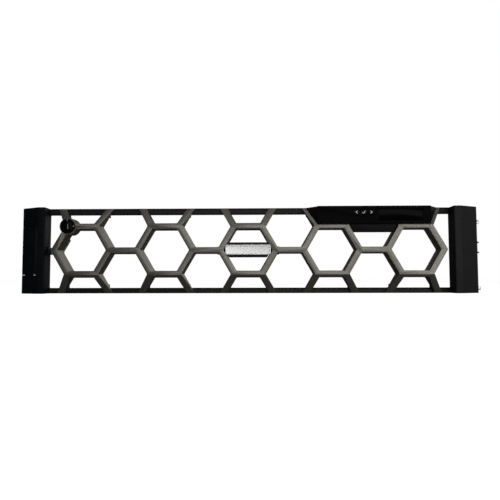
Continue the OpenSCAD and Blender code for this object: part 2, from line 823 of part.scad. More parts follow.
module module_panel() {
    color([0.02, 0.02, 0.02]) placed() difference() {
        union() {
            slab(-panel_proud, panel_back) translate([module_x, panel_low + panel_h / 2])
                rounded_2d(2 * panel_half, panel_h, 0.6);
            for (x = module_screw_x)
                rod_t(module_x + x, module_screw_z, 1.5, panel_back, module_back - module_wall - seat);
        }
        at_nav_buttons() slab(-3, 3) rounded_2d(nav_w + 0.5, nav_h + 0.5, 1);
        slab(-3, 3) translate([window_x, window_z]) rounded_2d(window_l + 2 * seat, window_h + 2 * seat, 0.8);
        for (x = module_screw_x) rod_t(module_x + x, module_screw_z, 0.8, 5, grille_t);
    }
}

module display_window() {
    color([0.1, 0.12, 0.13, 0.8]) placed() slab(-panel_proud + 0.1, panel_back)
        translate([window_x, window_z]) rounded_2d(window_l, window_h, 0.7);
}

module display_glass() {
    color([0.15, 0.2, 0.25]) placed() slab(panel_back + seat, board_t - seat)
        translate([window_x, window_z]) square([window_l - 1.6, window_h - 1.4], center = true);
}

module display_board() {
    color([0.05, 0.2, 0.1]) placed() difference() {
        box([module_x - panel_half + 6, board_t, module_low + module_wall + fit],
            [module_x + panel_half - 6, board_t + board_thick, module_top - module_wall - fit]);
        for (x = module_screw_x) rod_t(module_x + x, module_screw_z, 1.5 + fit, 0, grille_t);
    }
}

module button_switches() {
    color([0.7, 0.7, 0.65]) placed() at_nav_buttons() {
        box([-2.3, board_t - 0.8, -2.3], [2.3, board_t - seat, 2.3]);
        rod_t(0, 0, 1.6, board_t - switch_h, board_t - 0.7);
    }
}

// cap, the collar that keeps it behind the panel, and the stem that works the switch
module nav_button(i) {
    color([0.03, 0.03, 0.03]) placed()
        translate([module_x - nav_in + i * nav_pitch, 0, nav_z]) {
            slab(-nav_proud, panel_back + seat + 0.1) rounded_2d(nav_w, nav_h, 0.8);
            slab(panel_back + seat, panel_back + seat + 0.8) rounded_2d(nav_w + 0.8, nav_h + 1.4, 0.8);
            rod_t(0, 0, 1.2, panel_back + 0.5, board_t - switch_h - nav_travel - 0.1);
        }
}

module nav_button_left() {
    nav_button(0);
}

module nav_button_select() {
    nav_button(1);
}

module nav_button_right() {
    nav_button(2);
}

module module_screws() {
    color([0.3, 0.3, 0.3]) placed() for (x = module_screw_x)
        screw_t(module_x + x, module_screw_z, 0.75, 1.9, 1.2, 6, module_back + seat);
}

module module_mount_screws() {
    color([0.3, 0.3, 0.3]) placed() for (x = mount_screw_x)
        screw_t(module_x + x, mount_screw_z, 0.9, 1.1, 1.2, 8.6, rail_t + rail_wall + seat);
}

// flat cable from the board, along the top rail's channel, to the contact block
module display_flex() {
    low = mount_screw_z - flex_t / 2;
    t0 = tongue_back + fit;
    t1 = rail_back - 0.4;
    down_x = bracket_x + bracket_wall + fit;
    color([0.35, 0.3, 0.12]) placed() {
        box([flex_x - flex_w / 2, board_t + board_thick + seat, low], [flex_x + flex_w / 2, t1, low + flex_t]);
        box([flex_x - flex_w / 2, t0, low], [down_x + flex_t, t1, low + flex_t]);
        box([down_x, t0, contact_z - 2], [down_x + flex_t, t1, low + flex_t]);
        box([down_x, t0, contact_z - 2], [flange_x - 4 - seat, t1, contact_z - 2 + flex_t]);
    }
}

// ---- hooks and contacts ---------------------------------------------------------------------

module hook_plate() {
    color([0.5, 0.5, 0.5]) placed() difference() {
        union() {
            box([bracket_out - plate_t, cap_slope_t + 2.2, bracket_z + 0.4],
                [bracket_out, bracket_back - 0.6, bezel_h - bracket_z - 0.4]);
            for (z = [hook_low, bezel_h - hook_high])
                plan(z - hook_h / 2, z + hook_h / 2)
                    polygon([[bracket_out - 0.5, hook_t], [reach_x - 1, hook_t], [reach_x, hook_t + 1],
                             [reach_x, hook_t + 8.4], [reach_x - 1.4, hook_t + 8.4],
                             [half_w + 1, hook_t + 5], [bracket_out - 0.5, hook_t + 5]]);
        }
        box([bracket_out - plate_t - cut, contact_t - fit, contact_z - contact_h / 2 - fit],
            [bracket_out + cut, contact_t + contact_d + fit, contact_z + contact_h / 2 + fit]);
        both_rails() rod_x(web_t + 6, cap_screw_z - 2.5, 1, bracket_out - plate_t - cut, bracket_out + cut);
    }
}

module hook_plate_screws() {
    color([0.3, 0.3, 0.3]) placed() both_rails() {
        rod_x(web_t + 6, cap_screw_z - 2.5, 0.9, flange_x - 2 - seat, bracket_out - 0.1);
        rod_x(web_t + 6, cap_screw_z - 2.5, 2, flange_x - 3.4, flange_x - 2 - seat);
    }
}

module at_contacts() {
    pitch = (contact_h - 4.4) / (contact_n - 1);
    for (i = [0 : contact_n - 1])
        translate([0, contact_t + contact_d / 2, contact_z + (i - (contact_n - 1) / 2) * pitch]) children();
}

module contact_block() {
    low = contact_z - contact_h / 2;
    high = contact_z + contact_h / 2;
    color([0.06, 0.06, 0.06]) placed() difference() {
        union() {
            box([flange_x - 4, contact_t, low], [half_w + 1.2, contact_t + contact_d, high]);
            // flange that stops it behind the hook plate
            box([flange_x - 2, contact_t - 1.5, low - 2.4], [flange_x, contact_t + contact_d + 1.5, high + 2.4]);
            for (z = [low, high - 1.4])
                box([half_w, contact_t, z], [half_w + side_reach - 0.9, contact_t + contact_d, z + 1.4]);
        }
        at_contacts() rod_x(0, 0, 0.5, flange_x - 5, half_w + 2);
    }
}

module contact_pins() {
    color([0.8, 0.65, 0.3]) placed() at_contacts() rod_x(0, 0, 0.42, flange_x - 5.2, half_w + side_reach - 0.6);
}

honeycomb_grille();
top_rail();
bottom_rail();
left_end_cap();
right_end_cap();
left_bracket();
right_bracket();
grille_screws();
cap_screws();
rail_screws();
badge_bar();
badge_plate();
badge_screws();
lock_barrel();
lock_nut();
lock_plug();
lock_cam();
cam_screw();
release_button();
latch_lever();
latch_screws();
latch_springs();
module_housing();
module_panel();
display_window();
display_glass();
display_board();
button_switches();
nav_button_left();
nav_button_select();
nav_button_right();
module_screws();
module_mount_screws();
display_flex();
hook_plate();
hook_plate_screws();
contact_block();
contact_pins();
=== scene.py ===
# Front bezel of a rack server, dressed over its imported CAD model.
# Metres throughout. X runs to the right, Z up, and the front faces -Y.
import json
import math

import bmesh
import bpy
from mathutils import Matrix, Vector


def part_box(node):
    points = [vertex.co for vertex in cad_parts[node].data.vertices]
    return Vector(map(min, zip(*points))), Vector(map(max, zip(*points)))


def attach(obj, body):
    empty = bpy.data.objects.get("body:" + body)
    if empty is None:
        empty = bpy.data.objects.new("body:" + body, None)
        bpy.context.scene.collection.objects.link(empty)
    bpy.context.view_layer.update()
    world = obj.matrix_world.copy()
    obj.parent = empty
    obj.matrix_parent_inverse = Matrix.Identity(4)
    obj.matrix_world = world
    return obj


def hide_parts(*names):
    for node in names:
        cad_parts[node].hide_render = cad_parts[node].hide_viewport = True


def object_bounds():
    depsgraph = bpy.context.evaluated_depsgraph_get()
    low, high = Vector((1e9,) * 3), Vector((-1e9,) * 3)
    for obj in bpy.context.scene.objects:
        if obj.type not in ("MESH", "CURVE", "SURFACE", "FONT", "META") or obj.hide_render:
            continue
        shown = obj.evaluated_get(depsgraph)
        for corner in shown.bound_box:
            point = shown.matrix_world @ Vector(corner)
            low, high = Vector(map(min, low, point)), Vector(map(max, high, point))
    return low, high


bpy.ops.wm.read_factory_settings(use_empty=True)
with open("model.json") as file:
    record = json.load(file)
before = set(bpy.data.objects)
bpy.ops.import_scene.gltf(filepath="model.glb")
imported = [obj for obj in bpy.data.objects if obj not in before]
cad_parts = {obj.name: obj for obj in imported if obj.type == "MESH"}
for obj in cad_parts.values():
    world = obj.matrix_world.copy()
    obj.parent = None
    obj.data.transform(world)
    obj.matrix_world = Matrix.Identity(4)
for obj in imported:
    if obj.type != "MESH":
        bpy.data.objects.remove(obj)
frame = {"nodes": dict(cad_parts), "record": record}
cadLow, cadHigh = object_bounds()
scene = bpy.context.scene
mm = 0.001
print("frame loaded:", len(frame["nodes"]), "nodes")


# Shader helpers: a wire is one socket's value, and Python's operators join wires with Math nodes.
class Wire:
    def __init__(self, finish, socket):
        self.finish = finish
        self.socket = socket

    def join(self, operation, first, second):
        return self.finish.add("ShaderNodeMath", {"operation": operation}, {0: first, 1: second})

    def __add__(self, other):
        return self.join("ADD", self, other)

    def __radd__(self, other):
        return self.join("ADD", other, self)

    def __sub__(self, other):
        return self.join("SUBTRACT", self, other)

    def __rsub__(self, other):
        return self.join("SUBTRACT", other, self)

    def __mul__(self, other):
        return self.join("MULTIPLY", self, other)

    def __rmul__(self, other):
        return self.join("MULTIPLY", other, self)


class Finish:
    def __init__(self, name):
        self.material = bpy.data.materials.new(name)
        self.material.use_nodes = True
        self.tree = self.material.node_tree
        self.shader = self.tree.nodes["Principled BSDF"]
        self.place = None

    def plug(self, socket, value):
        if isinstance(value, Wire):
            self.tree.links.new(value.socket, socket)
        elif isinstance(value, tuple) and len(value) == 3 and socket.type == "RGBA":
            socket.default_value = value + (1,)
        else:
            socket.default_value = value

    def add(self, kind, settings=None, sockets=None, out=0):
        node = self.tree.nodes.new(kind)
        for name, value in (settings or {}).items():
            if name == "stops":  # a ramp's stops, as (place, colour)
                while len(node.color_ramp.elements) < len(value):
                    node.color_ramp.elements.new(1)
                for element, (place, colour) in zip(node.color_ramp.elements, value):
                    element.position = place
                    element.color = tuple(colour) + (1,)
            else:
                setattr(node, name, value)
        for name, value in (sockets or {}).items():
            self.plug(node.inputs[name], value)
        return Wire(self, node.outputs[out])

    def coords(self, stretch=(1, 1, 1), turn=(0, 0, 0)):
        if self.place is None:
            self.place = self.add("ShaderNodeTexCoord", out="Object")
        return self.add("ShaderNodeMapping", {}, {"Vector": self.place, "Scale": stretch, "Rotation": turn})

    def noise(self, size, detail=3, rough=0.55, stretch=(1, 1, 1)):  # size: one feature, in metres
        return self.add("ShaderNodeTexNoise", {}, {"Vector": self.coords(stretch), "Scale": 1 / size,
                                                   "Detail": detail, "Roughness": rough})

    def grains(self, size, stretch=(1, 1, 1)):
        return self.add("ShaderNodeTexVoronoi", {"feature": "F1"},
                        {"Vector": self.coords(stretch), "Scale": 1 / size}, out="Distance")

    def split(self, low, high, value):  # 0 under low, 1 over high
        return self.add("ShaderNodeMapRange", {"clamp": True},
                        {"Value": value, "From Min": low, "From Max": high, "To Min": 0.0, "To Max": 1.0})

    def blend(self, share, first, second):
        node = self.tree.nodes.new("ShaderNodeMix")
        node.data_type = "RGBA"
        self.plug(node.inputs[0], share)
        self.plug(node.inputs[6], first)
        self.plug(node.inputs[7], second)
        return Wire(self, node.outputs[2])

    def bump(self, height, strength, depth, under=None):
        sockets = {"Height": height, "Strength": strength, "Distance": depth}
        if under is not None:
            sockets["Normal"] = under
        return self.add("ShaderNodeBump", {}, sockets)

    def set(self, **values):
        names = {"colour": "Base Color", "rough": "Roughness", "metal": "Metallic", "normal": "Normal",
                 "specular": "Specular IOR Level", "glow": "Emission Color", "glowStrength": "Emission Strength"}
        for name, value in values.items():
            self.plug(self.shader.inputs[names[name]], value)
        return self


def mouldedGrain(finish, size, depth):  # the fine spark-eroded texture of a moulded face
    pits = finish.noise(size, 4, 0.62)
    swell = finish.noise(size * 9, 2, 0.5)
    return finish.bump(pits * 0.8 + swell * 0.35, 0.55, depth)


def plainPlastic(name, look):
    finish = Finish(name)
    clouds = finish.noise(look.get("cloud", 14) * mm, 3, 0.5)
    specks = finish.split(0.62, 0.74, finish.noise(0.35 * mm, 2, 0.5))
    colour = finish.blend(finish.split(0.3, 0.75, clouds), look["colour"], look["second"])
    colour = finish.blend(specks * look.get("speck", 0.12), colour, look.get("speckColour", (0.3, 0.3, 0.3)))
    rough = finish.split(0.2, 0.8, clouds) * 0.1 + look["rough"]
    finish.set(colour=colour, rough=rough, specular=look.get("specular", 0.3),
               normal=mouldedGrain(finish, look.get("grain", 0.28) * mm, look.get("depth", 0.02) * mm))
    return finish.material


def platedSteel(name, look):
    finish = Finish(name)
    smear = finish.noise(look.get("cloud", 5) * mm, 4, 0.6)
    scratch = finish.noise(0.25 * mm, 3, 0.6)
    colour = finish.blend(finish.split(0.3, 0.7, smear), look["colour"], look["second"])
    rough = smear * 0.16 + scratch * 0.12 + look["rough"]
    finish.set(colour=colour, rough=rough, metal=1.0, normal=finish.bump(scratch, 0.35, 0.012 * mm))
    return finish.material


# the honeycomb's warm grey paint, with fine flakes
grilleLook = {"colour": (0.135, 0.131, 0.113), "second": (0.160, 0.155, 0.134), "flake": (0.34, 0.33, 0.29),
              "rough": 0.38, "flakeShare": 0.22}


def grillePaint():
    look = grilleLook
    finish = Finish("grillePaint")
    clouds = finish.noise(26 * mm, 3, 0.5)
    mottle = finish.noise(3.2 * mm, 4, 0.6)
    flakes = finish.split(0.0, 0.32, finish.grains(0.32 * mm))
    colour = finish.blend(finish.split(0.3, 0.7, clouds * 0.6 + mottle * 0.4), look["colour"], look["second"])
    colour = finish.blend((1 - flakes) * look["flakeShare"], colour, look["flake"])
    rough = mottle * 0.14 + look["rough"]
    finish.set(colour=colour, rough=rough, specular=0.3, metal=0.8,
               normal=mouldedGrain(finish, 0.3 * mm, 0.018 * mm))
    return finish.material


railLook = {"colour": (0.010, 0.010, 0.011), "second": (0.018, 0.018, 0.019), "rough": 0.42}


def railAnodising():
    look = railLook
    finish = Finish("railAnodising")
    drawn = finish.noise(0.35 * mm, 3, 0.6, (0.02, 1, 1))  # lines left by the die, along the rail
    patch = finish.noise(20 * mm, 2, 0.5)
    colour = finish.blend(finish.split(0.35, 0.7, drawn * 0.7 + patch * 0.3), look["colour"], look["second"])
    finish.set(colour=colour, rough=drawn * 0.16 + look["rough"], specular=0.10, metal=0.1,
               normal=finish.bump(drawn, 0.5, 0.02 * mm))
    return finish.material


glossLook = {"colour": (0.0006, 0.0006, 0.0007), "rough": 0.2, "specular": 0.012}


def glossBlack(name, look):
    finish = Finish(name)
    haze = finish.noise(9 * mm, 4, 0.6)
    wipe = finish.noise(0.8 * mm, 3, 0.6, (0.15, 1, 1))
    colour = finish.blend(finish.split(0.4, 0.8, haze), look["colour"], tuple(c * 1.7 for c in look["colour"]))
    finish.set(colour=colour, rough=haze * 0.10 + wipe * 0.05 + look["rough"], specular=look["specular"],
               normal=finish.bump(wipe, 0.15, 0.004 * mm))
    return finish.material


plateLook = {"colour": (0.62, 0.62, 0.61), "second": (0.76, 0.76, 0.75), "rough": 0.34}


def brushedPlate():
    look = plateLook
    finish = Finish("brushedPlate")
    brushed = finish.noise(0.22 * mm, 4, 0.65, (0.03, 1, 1))  # brushed along its length
    broad = finish.noise(6 * mm, 2, 0.5, (0.3, 1, 1))
    colour = finish.blend(finish.split(0.3, 0.7, brushed * 0.75 + broad * 0.25), look["colour"], look["second"])
    finish.set(colour=colour, rough=brushed * 0.16 + look["rough"], metal=0.55,
               normal=finish.bump(brushed, 0.4, 0.012 * mm))
    return finish.material


def boardMask():
    finish = Finish("boardMask")
    tracks = finish.add("ShaderNodeTexBrick", {"offset": 0.37},
                        {"Vector": finish.coords((1, 1, 1), (math.pi / 2, 0, 0)), "Scale": 260.0,
                         "Mortar Size": 0.035, "Color1": (0, 0, 0), "Color2": (0, 0, 0), "Mortar": (1, 1, 1)})
    cloud = finish.noise(2 * mm, 3)
    colour = finish.blend(tracks, (0.012, 0.075, 0.03), (0.03, 0.14, 0.055))
    finish.set(colour=colour, rough=cloud * 0.15 + 0.28, normal=finish.bump(tracks, 0.4, 0.03 * mm))
    return finish.material


def flatCable():
    finish = Finish("flatCable")
    lines = finish.add("ShaderNodeTexWave", {"wave_type": "BANDS", "bands_direction": "Y"},
                       {"Vector": finish.coords(), "Scale": 500.0, "Distortion": 0.0})
    cloud = finish.noise(4 * mm, 3)
    colour = finish.blend(finish.split(0.35, 0.65, lines), (0.16, 0.075, 0.012), (0.36, 0.17, 0.03))
    finish.set(colour=colour, rough=cloud * 0.2 + 0.3, normal=finish.bump(lines, 0.3, 0.02 * mm))
    return finish.material


def darkGlass(name, colour, rough):
    finish = Finish(name)
    haze = finish.noise(7 * mm, 3, 0.5)
    finish.set(colour=finish.blend(finish.split(0.4, 0.8, haze), colour, tuple(c * 1.5 for c in colour)),
               rough=haze * 0.06 + rough, specular=0.02)
    return finish.material


def printedWhite():
    finish = Finish("printedWhite")
    wear = finish.noise(0.5 * mm, 4, 0.7)
    finish.set(colour=finish.blend(finish.split(0.55, 0.75, wear), (0.62, 0.62, 0.60), (0.40, 0.40, 0.39)),
               rough=wear * 0.2 + 0.4)
    return finish.material


# Both end caps are the same black plastic. The left cap's colour is darkened as painted shade because its face is
# turned from the light. The right cap's colour is lightened as painted light because its face is turned to it.
leftCapShadedLook = {"colour": (0.0022, 0.0032, 0.0044), "second": (0.0040, 0.0052, 0.0064), "rough": 0.50,
               "specular": 0.06, "speck": 0.03, "speckColour": (0.05, 0.055, 0.06)}
rightCapLitLook = {"colour": (0.0105, 0.0105, 0.0105), "second": (0.0145, 0.0145, 0.0142), "rough": 0.52,
                "specular": 0.10, "speck": 0.03, "speckColour": (0.08, 0.08, 0.08)}
finishes = {
    "grille": grillePaint(),
    "rail": railAnodising(),
    # painted shade on the left cap and painted light on the right cap: a shaded and a lit copy of one cap plastic
    "capLeft": plainPlastic("capLeftPlastic", leftCapShadedLook),
    "capRight": plainPlastic("capRightPlastic", rightCapLitLook),
    "bracket": plainPlastic("bracketPowder", {"colour": (0.008, 0.008, 0.009), "second": (0.014, 0.014, 0.015),
                                              "rough": 0.5, "grain": 0.6, "depth": 0.05, "speck": 0.05}),
    "housing": plainPlastic("housingPlastic", {"colour": (0.003, 0.003, 0.0033), "second": (0.005, 0.005, 0.0053),
                                               "rough": 0.5, "speck": 0.03, "specular": 0.08}),
    "badgeBar": plainPlastic("badgeBarPlastic", {"colour": (0.012, 0.012, 0.012), "second": (0.02, 0.02, 0.02),
                                                 "rough": 0.45, "speck": 0.04, "specular": 0.12}),
    "block": plainPlastic("contactBlockPlastic", {"colour": (0.012, 0.012, 0.012), "second": (0.018, 0.018, 0.018),
                                                  "rough": 0.42, "speck": 0.05}),
    "switch": plainPlastic("switchPlastic", {"colour": (0.42, 0.42, 0.38), "second": (0.5, 0.5, 0.46),
                                             "rough": 0.4}),
    "lock": platedSteel("lockBlacking", {"colour": (0.004, 0.004, 0.004), "second": (0.012, 0.012, 0.012),
                                         "rough": 0.3}),
    "zinc": platedSteel("zincPlate", {"colour": (0.36, 0.36, 0.37), "second": (0.5, 0.5, 0.49), "rough": 0.26}),
    "screw": platedSteel("screwZinc", {"colour": (0.30, 0.30, 0.31), "second": (0.44, 0.44, 0.44),
                                       "rough": 0.24}),
    "nickel": platedSteel("nickelPlate", {"colour": (0.48, 0.46, 0.42), "second": (0.6, 0.58, 0.54),
                                          "rough": 0.2}),
    "spring": platedSteel("springWire", {"colour": (0.40, 0.40, 0.41), "second": (0.55, 0.55, 0.55),
                                         "rough": 0.18}),
    "gold": platedSteel("contactGold", {"colour": (0.75, 0.5, 0.16), "second": (0.85, 0.62, 0.24),
                                        "rough": 0.16}),
    "panel": glossBlack("panelGloss", glossLook),
    "key": glossBlack("keyGloss", {"colour": (0.0015, 0.0015, 0.0016), "rough": 0.2, "specular": 0.03}),
    "window": darkGlass("windowTint", (0.0008, 0.0009, 0.001), 0.12),
    "display": darkGlass("displayDark", (0.010, 0.013, 0.016), 0.12),
    "plate": brushedPlate(),
    "board": boardMask(),
    "flex": flatCable(),
    "print": printedWhite(),
}
print("finishes made:", len(finishes))


# Modelling helpers
def clearSelection():
    if bpy.context.object and bpy.context.object.mode != "OBJECT":
        bpy.ops.object.mode_set(mode="OBJECT")
    bpy.ops.object.select_all(action="DESELECT")


def pickOnly(piece):
    clearSelection()
    piece.select_set(True)
    bpy.context.view_layer.objects.active = piece


def editMode():
    bpy.ops.object.mode_set(mode="EDIT")


def objectMode():
    bpy.ops.object.mode_set(mode="OBJECT")


def choose(kind, test):  # selects the edit mesh's faces, edges or vertices that pass a test
    mesh = bmesh.from_edit_mesh(bpy.context.object.data)
    bpy.ops.mesh.select_mode(type=kind)
    bpy.ops.mesh.select_all(action="DESELECT")
    mesh = bmesh.from_edit_mesh(bpy.context.object.data)
    mesh.normal_update()
    items = {"FACE": mesh.faces, "EDGE": mesh.edges, "VERT": mesh.verts}[kind]
    count = 0
    for item in items:
        if test(item):
            item.select_set(True)
            count += 1
    mesh.select_flush_mode()
    bmesh.update_edit_mesh(bpy.context.object.data)
    return count


def facing(direction):
    wanted = Vector(direction)
    return lambda face: face.normal.dot(wanted) > 0.99


def running(direction):
    wanted = Vector(direction)
    return lambda edge: abs((edge.verts[1].co - edge.verts[0].co).normalized().dot(wanted)) > 0.99


def settle(piece, name):  # its place goes into its mesh
    piece.name = name
    pickOnly(piece)
    bpy.ops.object.transform_apply(location=True, rotation=True, scale=True)
    return piece


def softenEdges(piece, width, steps=2, angle=28):
    pickOnly(piece)
    bevel = piece.modifiers.new("edges", "BEVEL")
    bevel.width = width
    bevel.segments = steps
    bevel.limit_method = "ANGLE"
    bevel.angle_limit = math.radians(angle)
    bevel.use_clamp_overlap = True
    bevel.harden_normals = False
    bpy.ops.object.modifier_apply(modifier=bevel.name)
    bpy.ops.object.shade_smooth_by_angle(angle=math.radians(32))


def dress(piece, finish, body, nodes=()):
    piece.data.materials.clear()
    piece.data.materials.append(finishes[finish])
    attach(piece, body)
    if nodes:
        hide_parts(*nodes)


bodyOf = {}
for bodyName, members in frame["record"]["behaviour"]["bodies"].items():
    for member in members:
        bodyOf[member] = bodyName


def mergedCopy(node):  # a CAD node's surface as one welded mesh
    source = frame["nodes"][node]
    piece = bpy.data.objects.new(node + "_skin", source.data.copy())
    scene.collection.objects.link(piece)
    pickOnly(piece)
    editMode()
    bpy.ops.mesh.select_all(action="SELECT")
    bpy.ops.mesh.remove_doubles(threshold=0.002 * mm)
    bpy.ops.mesh.dissolve_limited(angle_limit=math.radians(0.3))
    objectMode()
    return piece


# How far each moulded, bent or turned piece is rounded at its edges, and its finish
roundedPieces = {
    "honeycomb_grille": (0.45, 2, "grille"),
    "top_rail": (0.18, 2, "rail"),
    "bottom_rail": (0.18, 2, "rail"),
    # the left cap and its release button take the painted-shade copy of the cap plastic, the right cap the
    # painted-light copy
    "left_end_cap": (0.4, 3, "capLeft"),
    "right_end_cap": (0.4, 3, "capRight"),
    "release_button": (0.3, 2, "capLeft"),
    "left_bracket": (0.2, 2, "bracket"),
    "right_bracket": (0.2, 2, "bracket"),
    "badge_bar": (0.25, 2, "badgeBar"),
    "lock_barrel": (0.35, 3, "lock"),
    "lock_nut": (0.25, 2, "nickel"),
    "lock_plug": (0.2, 2, "lock"),
    "lock_cam": (0.2, 2, "nickel"),
    "latch_lever": (0.25, 2, "zinc"),
    "module_housing": (0.3, 2, "housing"),
    "module_panel": (0.22, 3, "panel"),
    "display_window": (0.15, 2, "window"),
    "nav_button_left": (0.2, 2, "key"),
    "nav_button_select": (0.2, 2, "key"),
    "nav_button_right": (0.2, 2, "key"),
    "hook_plate": (0.2, 2, "zinc"),
    "contact_block": (0.25, 2, "block"),
    "contact_pins": (0.15, 2, "gold"),
}
for node, (radius, steps, finish) in roundedPieces.items():
    skin = mergedCopy(node)
    softenEdges(skin, radius * mm, steps)
    dress(skin, finish, bodyOf[node], [node])
print("rounded pieces:", len(roundedPieces))

plainNodes = {"display_glass": "display", "display_board": "board", "button_switches": "switch",
              "display_flex": "flex", "rail_screws": "screw"}
for node, finish in plainNodes.items():
    frame["nodes"][node].data.materials.clear()
    frame["nodes"][node].data.materials.append(finishes[finish])


# The blank badge plate: a sunk field inside a raised rim
badgePlate = {"corner": 2.0, "rim": 0.9, "sunk": 0.18, "edge": 0.14}


def makeBadgePlate():
    look = badgePlate
    low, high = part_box("badge_plate")
    clearSelection()
    bpy.ops.mesh.primitive_cube_add(size=1, location=(low + high) / 2)
    plate = bpy.context.object
    plate.scale = high - low
    settle(plate, "badgePlateBlank")
    editMode()
    choose("EDGE", running((0, 1, 0)))
    bpy.ops.mesh.bevel(offset=look["corner"] * mm, segments=8, affect="EDGES")
    choose("FACE", facing((0, -1, 0)))
    bpy.ops.mesh.inset(thickness=look["rim"] * mm)
    bpy.ops.mesh.inset(thickness=0.25 * mm)
    bpy.ops.transform.translate(value=(0, look["sunk"] * mm, 0))
    objectMode()
    softenEdges(plate, look["edge"] * mm, 2, 35)
    dress(plate, "plate", "bezel", ["badge_plate"])


makeBadgePlate()


# The marks on the three keys: back, confirm, forward. Each is drawn as a bent bar.
keyMarks = {"size": 2.5, "stroke": 0.55, "thick": 0.06, "lift": 0.03}


def bentBar(name, points, width, y, thick):
    # a flat bar along a row of points in the front plane, mitred at its bend
    clearSelection()
    bpy.ops.mesh.primitive_plane_add(size=1)
    bar = bpy.context.object
    bar.name = name
    editMode()
    bpy.ops.mesh.delete(type="VERT")
    objectMode()
    path = [Vector((x, z)) for x, z in points]
    sides = []
    for i, point in enumerate(path):
        before = (point - path[i - 1]).normalized() if i else None
        after = (path[i + 1] - point).normalized() if i + 1 < len(path) else None
        along = ((before or after) + (after or before)).normalized()
        across = Vector((-along.y, along.x))
        straight = after or before
        reach = width / 2 / max(0.3, across.dot(Vector((-straight.y, straight.x))))
        sides.append((point + across * reach, point - across * reach))
    mesh = bmesh.new()
    corners = [[mesh.verts.new((p.x, y, p.y)) for p in pair] for pair in sides]
    for one, two in zip(corners, corners[1:]):
        mesh.faces.new((one[1], two[1], two[0], one[0]))
    mesh.to_mesh(bar.data)
    mesh.free()
    pickOnly(bar)
    editMode()
    bpy.ops.mesh.select_all(action="SELECT")
    bpy.ops.mesh.extrude_region_move(TRANSFORM_OT_translate={"value": (0, thick, 0)})
    bpy.ops.mesh.select_all(action="SELECT")
    bpy.ops.mesh.normals_make_consistent(inside=False)
    objectMode()
    return bar


def makeKeyMarks():
    look = keyMarks
    s = look["size"] * mm
    shapes = {
        "nav_button_left": [(0.35, 0.5), (-0.2, 0.0), (0.35, -0.5)],
        "nav_button_select": [(-0.5, 0.0), (-0.15, -0.42), (0.6, 0.5)],
        "nav_button_right": [(-0.35, 0.5), (0.2, 0.0), (-0.35, -0.5)],
    }
    for node, shape in shapes.items():
        low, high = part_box(node)
        x, z = (low.x + high.x) / 2, (low.z + high.z) / 2
        mark = bentBar(node + "_mark", [(x + px * s, z + pz * s) for px, pz in shape],
                       look["stroke"] * mm, low.y - look["lift"] * mm, look["thick"] * mm)
        dress(mark, "print", bodyOf[node])


makeKeyMarks()


# Pan-head screws with a cross recess, modelled once and set over the CAD screws; the rail screws keep their CAD
# shape
panHead = {"dome": 0.3, "recess": 0.62, "slot": 0.2}
headRise = 0.82  # height of the master screw's head, with its dome


def islands(node):  # the box of each separate solid of a CAD node
    mesh = bmesh.new()
    mesh.from_mesh(frame["nodes"][node].data)
    bmesh.ops.remove_doubles(mesh, verts=mesh.verts, dist=0.002 * mm)
    left = set(mesh.verts)
    boxes = []
    while left:
        group = [left.pop()]
        for vert in group:
            for edge in vert.link_edges:
                other = edge.other_vert(vert)
                if other in left:
                    left.discard(other)
                    group.append(other)
        boxes.append((Vector(min(v.co[i] for v in group) for i in range(3)),
                      Vector(max(v.co[i] for v in group) for i in range(3))))
    mesh.free()
    return boxes


def makeScrew():  # head radius 1 and head height 0.6 along +Y, its seat at the origin, shank behind it
    look = panHead
    clearSelection()
    bpy.ops.mesh.primitive_cylinder_add(vertices=32, radius=1, depth=0.6, location=(0, 0.3, 0),
                                        rotation=(math.pi / 2, 0, 0))
    screw = settle(bpy.context.object, "panHeadScrew")
    editMode()
    choose("FACE", facing((0, 1, 0)))
    for inset, rise in ((0.12, 0.10), (0.16, 0.07), (0.2, 0.05)):
        bpy.ops.mesh.inset(thickness=inset)
        bpy.ops.transform.translate(value=(0, rise * look["dome"] / 0.3, 0))
    choose("FACE", facing((0, -1, 0)))
    bpy.ops.mesh.inset(thickness=0.5)
    bpy.ops.mesh.extrude_region_move(TRANSFORM_OT_translate={"value": (0, -1, 0)})
    objectMode()
    for turn in (0, math.pi / 2):
        clearSelection()
        bpy.ops.mesh.primitive_cube_add(size=1, location=(0, 0.9, 0), rotation=(0, turn, 0))
        cutter = bpy.context.object
        cutter.scale = (look["recess"] * 2 * 0.8, 1.05, look["slot"])
        pickOnly(screw)
        cut = screw.modifiers.new("cross", "BOOLEAN")
        cut.operation = "DIFFERENCE"
        cut.object = cutter
        cut.solver = "EXACT"
        bpy.ops.object.modifier_apply(modifier=cut.name)
        bpy.data.objects.remove(cutter)
    return screw


